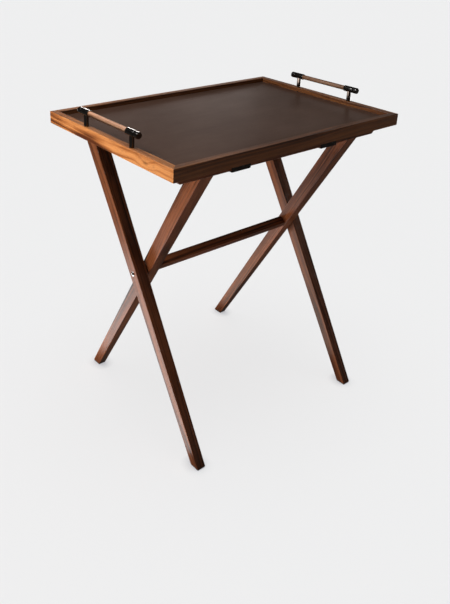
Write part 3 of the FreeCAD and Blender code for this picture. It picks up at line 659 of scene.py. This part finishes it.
def screw_profile(head_radius, head, shank_radius, length, recess):
    """Rings of a round-headed screw, from the bottom of its cross recess to its point."""
    cross = [(recess, 0.16), (recess * 0.8, 0.44), (head * 0.02, 0.50)]
    dome = [(0, 0.55), (0.10, 0.74), (0.30, 0.89), (0.62, 0.985), (0.85, 1), (1, 0.97)]
    rings = [(recess, 0, round_outline)]
    rings += [(depth, head_radius * share, cross_outline) for depth, share in cross]
    rings += plain([(head * depth, head_radius * share) for depth, share in dome])
    rings += plain([(head, shank_radius), (length - 2.5 * shank_radius, shank_radius), (length, 0)])
    return rings


def build_screws(name, node, places, body, material, slot, **sizes):
    """Round-headed screws, point upwards, that stand for one CAD node."""
    mesh = bmesh.new()
    for place in places:
        turned(mesh, screw_profile(**sizes), Z_AXIS, place, steps=48)
    piece = new_piece(name, finished(mesh, name), material, body)
    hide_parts(node)


def islands(node):
    """The middle x, y and lowest z of each loose piece of a CAD node."""
    mesh = bmesh.new()
    mesh.from_mesh(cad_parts[node].data)
    bmesh.ops.remove_doubles(mesh, verts=mesh.verts, dist=1e-6)
    left, found = set(mesh.verts), []
    while left:
        stack, members = [left.pop()], []
        while stack:
            vertex = stack.pop()
            members.append(vertex.co.copy())
            for edge in vertex.link_edges:
                other = edge.other_vert(vertex)
                if other in left:
                    left.remove(other)
                    stack.append(other)
        low = Vector(min(c[i] for c in members) for i in range(3))
        high = Vector(max(c[i] for c in members) for i in range(3))
        found.append(((low.x + high.x) / 2, (low.y + high.y) / 2, low.z))
    mesh.free()
    return sorted(found)


HANDLE_SCREW = {"head_radius": 3.5 * MM, "head": 2.4 * MM, "shank_radius": 2 * MM, "recess": 1.3 * MM}
STRAP_SCREW = {"head_radius": 3.6 * MM, "head": 1.4 * MM, "shank_radius": 1.6 * MM, "recess": 0.9 * MM}


def build_fasteners(screw_steel, steel):
    """The handle screws, the strap screws and the two pivot bolts."""
    for node, body, sizes in (("handle_screws", "tray", HANDLE_SCREW),
                              ("strap_screws_front", "inner_frame", STRAP_SCREW),
                              ("strap_screws_back", "outer_frame", STRAP_SCREW)):
        low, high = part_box(node)
        build_screws(node + "_detail", node, islands(node), body, screw_steel, "screw_steel",
                     length=high.z - low.z, **sizes)
    for x_sign, hand in HANDS:
        build_bolt(x_sign, hand, steel)


BOLT_HEAD_RADIUS = 6 * MM
BOLT_HEAD = 2.4 * MM
BOLT_RADIUS = 3 * MM
BOLT_SOCKET_RADIUS = 2.3 * MM
BOLT_SOCKET = 1.6 * MM
BOLT_POINT = 0.6 * MM
BOLT_DOME_ANGLES = (28, 38, 48, 58, 68, 78, 86)


def build_bolt(x_sign, hand, material):
    """The pivot bolt: a low round head with a six-sided socket, then its shank."""
    low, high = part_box("pivot_bolt_" + hand)
    outside = low.x if x_sign == LEFT else high.x
    length = high.x - low.x
    socket = [(BOLT_SOCKET, 0.97), (0.42 * MM, 1), (0.27 * MM, 1.08)]
    rings = [(BOLT_SOCKET, 0, round_outline)]
    rings += [(depth, BOLT_SOCKET_RADIUS * share, hexagon_outline) for depth, share in socket]
    rings += plain([(BOLT_HEAD - BOLT_HEAD * 0.96 * math.cos(angle), BOLT_HEAD_RADIUS * math.sin(angle))
                    for angle in map(math.radians, BOLT_DOME_ANGLES)])
    rings += plain([(BOLT_HEAD, BOLT_HEAD_RADIUS), (BOLT_HEAD, BOLT_RADIUS),
                    (length - BOLT_POINT, BOLT_RADIUS), (length, BOLT_RADIUS - BOLT_POINT), (length, 0)])
    mesh = bmesh.new()
    turned(mesh, rings, X_AXIS * -x_sign, (outside, PIVOT.y, PIVOT.z))
    piece = new_piece("bolt_" + hand, finished(mesh, "bolt"), material, "inner_frame")
    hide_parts("pivot_bolt_" + hand)


# --- Straps -------------------------------------------------------------------------------

STRAP_THICK = 1.8 * MM
STRAP_HEM = 26 * MM
STRAP_STEP = 2.5 * MM
STRAP_COLUMNS = 24
STRAP_EDGE = 1.2 * MM
BEND_UNDER_RAIL = 1.6 * MM
BEND_OVER_RAIL = 2.2 * MM
TUCKED_END = 3 * MM


def strap_path(node):
    """The strap's centre line in Y and Z: a tucked hem, round one rail, across, and the same again."""
    low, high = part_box(node)
    rail_low, rail_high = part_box("top_rail_back")
    half = STRAP_THICK / 2
    outside, over, under = high.y - half, high.z - half, low.z + half
    hem = rail_high.y - STRAP_HEM + half
    inner_layer = rail_low.z - half
    corners = [(rail_high.y - TUCKED_END, inner_layer), (hem, inner_layer), (hem, under),
               (outside, under), (outside, over)]
    mirrored = [(-y, z) for y, z in reversed(corners)]
    fold = (inner_layer - under) / 2
    radii = [fold, fold, BEND_UNDER_RAIL, BEND_OVER_RAIL]
    return rounded(corners + mirrored, radii + radii[::-1])


def resampled(path, step):
    """Points along a path at most a step apart, keeping the path's own points."""
    points = [path[0]]
    for start, end in zip(path, path[1:]):
        pieces = max(1, math.ceil((end - start).length / step))
        points += [start.lerp(end, i / pieces) for i in range(1, pieces + 1)]
    return points


def strap_section(width):
    """The strap's outline across its width, with thinned edges, as a loop of (across, offset)."""
    upper = []
    for i in range(STRAP_COLUMNS + 1):
        across = -width / 2 + width * i / STRAP_COLUMNS
        edge = min(1.0, max(0.0, 1 - (width / 2 - abs(across)) / STRAP_EDGE))
        upper.append((across, STRAP_THICK / 2 * math.sqrt(1 - edge * edge)))
    return upper + [(across, -offset) for across, offset in reversed(upper[1:-1])]


def build_strap(hand, material):
    """One strap, stretched between the two top rails."""
    node = "strap_" + hand
    low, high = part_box(node)
    path = resampled(strap_path(node), STRAP_STEP)
    middle, width = (low.x + high.x) / 2, high.x - low.x
    travelled = [0.0]
    for start, end in zip(path, path[1:]):
        travelled.append(travelled[-1] + (end - start).length)
    loop = strap_section(width)
    mesh = bmesh.new()
    layer = mesh.loops.layers.uv.new("weave")
    rows = []
    for index, point in enumerate(path):
        before, after = path[max(0, index - 1)], path[min(len(path) - 1, index + 1)]
        direction = (after - before).normalized()
        normal = Vector((-direction.y, direction.x))
        row = []
        for across, offset in loop:
            place = point + normal * offset
            row.append(mesh.verts.new((middle + across, place.x, place.y)))
        rows.append(row)
    count = len(loop)
    for r, (lower, upper) in enumerate(zip(rows, rows[1:])):
        for i in range(count):
            j = (i + 1) % count
            face = mesh.faces.new((lower[i], lower[j], upper[j], upper[i]))
            for corner, (column, row) in zip(face.loops, ((i, r), (j, r), (j, r + 1), (i, r + 1))):
                corner[layer].uv = (loop[column][0], travelled[row])
    mesh.faces.new(rows[0])
    mesh.faces.new(rows[-1])
    piece = new_piece("webbing_" + hand, finished(mesh, "webbing"), material,
                      sharp=math.radians(60))
    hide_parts(node)
    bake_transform(piece)


# --- Tray inset ---------------------------------------------------------------------------

INSET_STEP = 4 * MM
INSET_ROLL = 0.9 * MM
INSET_WAVE = 0.10 * MM


def build_inset(material):
    """The leather covering: a thin sheet with softly rolled edges and a faint unevenness."""
    low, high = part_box("tray_leather_inset")
    size = high - low
    columns, rows = round(size.x / INSET_STEP), round(size.y / INSET_STEP)

    def spaced(start, end, count):
        """Even places, with extra ones near both edges for the roll."""
        near = [INSET_ROLL * share for share in (0.0, 0.12, 0.35, 0.65, 1.0)]
        inner = [start + INSET_ROLL + (end - start - 2 * INSET_ROLL) * i / count for i in range(1, count)]
        return [start + n for n in near] + inner + [end - n for n in reversed(near)]

    xs, ys = spaced(low.x, high.x, columns), spaced(low.y, high.y, rows)
    mesh = bmesh.new()

    def top_height(x, y):
        edge = min(x - low.x, high.x - x, y - low.y, high.y - y)
        drop = max(0.0, 1 - edge / INSET_ROLL)
        roll = INSET_ROLL * (1 - math.sqrt(max(0.0, 1 - drop * drop)))
        wave = noise.noise(Vector((x * 9, y * 14, 3.7))) * 0.5 + 0.5
        return high.z - roll * 0.8 - INSET_WAVE * wave

    top = [[mesh.verts.new((x, y, top_height(x, y))) for x in xs] for y in ys]
    for lower, upper in zip(top, top[1:]):
        for i in range(len(xs) - 1):
            mesh.faces.new((lower[i], lower[i + 1], upper[i + 1], upper[i]))
    rim = top[0] + [row[-1] for row in top[1:-1]] + top[-1][::-1] + [row[0] for row in top[-2:0:-1]]
    base = [mesh.verts.new((v.co.x, v.co.y, low.z)) for v in rim]
    for i in range(len(rim)):
        j = (i + 1) % len(rim)
        mesh.faces.new((rim[j], rim[i], base[i], base[j]))
    mesh.faces.new(base)
    piece = new_piece("leather_inset", finished(mesh, "inset"), material, "tray")
    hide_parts("tray_leather_inset")


# --- Studio -------------------------------------------------------------------------------

FLOOR_HALF = 30.0
FLOOR_COLOUR = [0.8] * 3
# Painted contact shadow: near a foot, the floor's colour darkens towards this grey, within this reach.
PAINTED_SHADOW_COLOUR = (0.45, 0.45, 0.47)
PAINTED_SHADOW_REACH = 24 * MM
CARD_HEIGHT = 4 * MM
WORLD_COLOUR = (1, 0.86, 0.75, 1)
HORIZON_BAND = (-0.15, 0.10)
WORLD_BELOW = 0.09
WORLD_ABOVE = 0.05
BACKDROP_COLOUR = (0.863, 0.863, 0.863, 1)
WASH_COLOUR = (0.99, 1.0, 1.01)


def build_floor():
    """A plain pale floor with a painted contact shadow, darker where a foot meets it. The cards stand for
    its bounce.
    """
    mesh = bmesh.new()
    bmesh.ops.create_grid(mesh, x_segments=8, y_segments=8, size=FLOOR_HALF)
    floor = bpy.data.objects.new("floor", finished(mesh, "floor"))
    bpy.context.scene.collection.objects.link(floor)
    graph = Graph("floor")
    # Painted shadow: ambient occlusion darkens the floor's own colour next to the feet.
    painted_shadow_ao = graph.tree.nodes.new("ShaderNodeAmbientOcclusion")
    painted_shadow_ao.inputs["Distance"].default_value = PAINTED_SHADOW_REACH
    shade = graph.mix(graph.span(painted_shadow_ao.outputs["AO"], 0.2, 1.0), PAINTED_SHADOW_COLOUR, FLOOR_COLOUR)
    graph.set(Base_Color=shade, Roughness=0.9, Specular_IOR_Level=0.0)
    floor.data.materials.append(graph.material)
    floor.visible_diffuse = False
    floor.visible_glossy = False
    return floor


def add_light(name, kind, power, colour=(1, 1, 1)):
    data = bpy.data.lights.new(name, kind)
    data.energy = power
    data.color = colour
    light = bpy.data.objects.new(name, data)
    bpy.context.scene.collection.objects.link(light)
    light.visible_camera = False
    return light


def receive(light, pieces, state):
    """Lets a light shine on some pieces only (INCLUDE), or on everything but them (EXCLUDE)."""
    group = bpy.data.collections.new(light.name + "_receivers")
    for piece in pieces:
        group.objects.link(piece)
    light.light_linking.receiver_collection = group
    for member in group.collection_objects:
        member.light_linking.link_state = state


def rectangle(name, place, target, size, power, colour=(1, 1, 1)):
    """A rectangular light aimed at a point."""
    light = add_light(name, "AREA", power, colour)
    light.data.shape = "RECTANGLE"
    light.data.size, light.data.size_y = size
    light.location = place
    light.rotation_euler = (Vector(place) - Vector(target)).to_track_quat("Z", "Y").to_euler()
    return light


def softbox(name, place, target, size, power, kept_out, colour=(1, 1, 1)):
    """A rectangular light for everything but the pieces kept out of it."""
    light = rectangle(name, place, target, size, power, colour)
    receive(light, kept_out, "EXCLUDE")
    return light


def light_handles(handles):
    """The handles' own lights: a bright backdrop, the tray's sheen on the posts, and a light above."""
    glint = rectangle("glint", (1.25, 1.95, 0.74), (-0.3, 0, 0.73), (0.7, 1.0), 18, (1, 0.95, 0.92))
    receive(glint, handles["left"][1:], "INCLUDE")
    sheen = rectangle("tray_sheen", (0.22, 0.06, 0.703), (0.31, 0.06, 0.712), (0.30, 0.02), 0.11,
                      (1, 0.80, 0.68))
    receive(sheen, [piece for piece in handles["right"] if "post" in piece.name], "INCLUDE")
    above = rectangle("bar_light", (-0.50, 0.3, 1.6), (-0.3, 0, 0.73), (0.3, 0.3), 20, (1, 0.92, 0.90))
    receive(above, handles["left"][:1], "INCLUDE")


def card(name, x, y, size, power, kept_out, colour=(1, 1, 1)):
    """Light thrown up by one patch of the floor."""
    softbox(name, (x, y, CARD_HEIGHT), (x, y, 1), size, power, kept_out, colour)


def wash(name, power, spread, shadows, floor):
    """Even light on the floor alone; spread is the sun's width in degrees."""
    light = add_light(name, "SUN", power, WASH_COLOUR)
    light.data.angle = math.radians(spread)
    light.data.use_shadow = shadows
    receive(light, [floor], "INCLUDE")


def build_world():
    """Soft warm light from the floor's side, a dimmer room above, and a pale backdrop to the eye."""
    world = bpy.data.worlds.new("studio")
    bpy.context.scene.world = world
    world.use_nodes = True
    nodes, links = world.node_tree.nodes, world.node_tree.links
    height = nodes.new("ShaderNodeSeparateXYZ")
    links.new(nodes.new("ShaderNodeTexCoord").outputs["Generated"], height.inputs[0])
    strength = nodes.new("ShaderNodeMapRange")
    links.new(height.outputs["Z"], strength.inputs["Value"])
    for socket, number in zip(list(strength.inputs)[1:5], (*HORIZON_BAND, WORLD_BELOW, WORLD_ABOVE)):
        socket.default_value = number
    room = nodes["Background"]
    room.inputs["Color"].default_value = WORLD_COLOUR
    links.new(strength.outputs["Result"], room.inputs["Strength"])
    backdrop = nodes.new("ShaderNodeBackground")
    backdrop.inputs["Color"].default_value = BACKDROP_COLOUR
    choice = nodes.new("ShaderNodeMixShader")
    links.new(nodes.new("ShaderNodeLightPath").outputs["Is Camera Ray"], choice.inputs["Fac"])
    links.new(room.outputs["Background"], choice.inputs[1])
    links.new(backdrop.outputs["Background"], choice.inputs[2])
    links.new(choice.outputs["Shader"], nodes["World Output"].inputs["Surface"])


def build_studio(handles):
    """Soft light from all round, weakest on the table's front. Area lights' powers are in watts."""
    build_world()
    floor = build_floor()
    inner_left, outer_left, stretcher = [
        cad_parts[node] for node in ("leg_inner_left", "leg_outer_left", "stretcher")]
    key = softbox("key", (-2.4, 0.45, 0.42), (0, 0, 0.42), (1.5, 0.65), 90, [floor] + handles["left"])
    key.visible_glossy = False
    softbox("top", (-0.75, 0.3, 1.75), (-0.1, 0, 0.69), (0.8, 0.8), 21, [floor])
    softbox("horizon", (0.9, 2.5, 0.65), (0.1, 0, 0.5), (2.6, 1.2), 8.8, [floor], (1, 0.93, 0.89))
    softbox("backdrop", (3.4, 2.5, 1.7), (0.2, 0, 0.7), (2.6, 1.2), 1.9, [floor], (1, 0.86, 0.80))
    fill = softbox("fill", (1.7, -2.0, 0.9), (0.2, 0, 0.4), (1.2, 1.0), 9, [floor, outer_left],
                   (0.88, 0.96, 1))
    fill.visible_glossy = False
    softbox("right", (2.2, 0.3, 0.4), (0, 0, 0.35), (1.2, 0.6), 15, [floor])
    softbox("rear", (0.3, 2.4, 0.4), (0, 0, 0.35), (1.4, 0.6), 14, [floor])
    card("card_left", -0.50, 0.26, (0.46, 0.90), 3.3, [floor] + handles["left"])
    card("card_right", -0.02, 0.18, (0.36, 0.64), 1.2, [floor, inner_left, outer_left, stretcher],
         (1, 0.9, 0.8))
    card("card_front", -0.1, -0.65, (0.9, 0.4), 1.9, [floor], (1, 0.75, 0.6))
    light_handles(handles)
    wash("floor_wash", 3.14, 60, False, floor)
    wash("floor_shade", 0.11, 40, True, floor)
    bpy.context.scene.view_settings.view_transform = "Standard"


# --- Everything ---------------------------------------------------------------------------

make_camera()
paint_wood()

nickel = metal("black_nickel", (0.110, 0.105, 0.102), (0.30, 0.29, 0.28), 0.13)
steel = metal("polished_steel", (0.60, 0.59, 0.58), (0.80, 0.79, 0.78), 0.12)
screw_steel = metal("screw_steel", (0.33, 0.33, 0.34), (0.55, 0.55, 0.55), 0.25)
brass = metal("brass", (0.55, 0.40, 0.17), (0.70, 0.55, 0.30), 0.3)
nylon = moulded("nylon", (0.030, 0.030, 0.031), 0.5)
pads = felt()
weave = webbing()

for _, side_name in HANDS:
    paint("pivot_insert_" + side_name, brass)
    paint("pivot_spacer_" + side_name, nylon)
    for frame_name in ("outer", "inner"):
        paint("foot_pad_%s_%s" % (frame_name, side_name), pads)
    build_strap(side_name, weave)

handles = build_handles(nickel)
build_fasteners(screw_steel, steel)
build_inset(leather())
build_studio(handles)

bpy.context.view_layer.update()
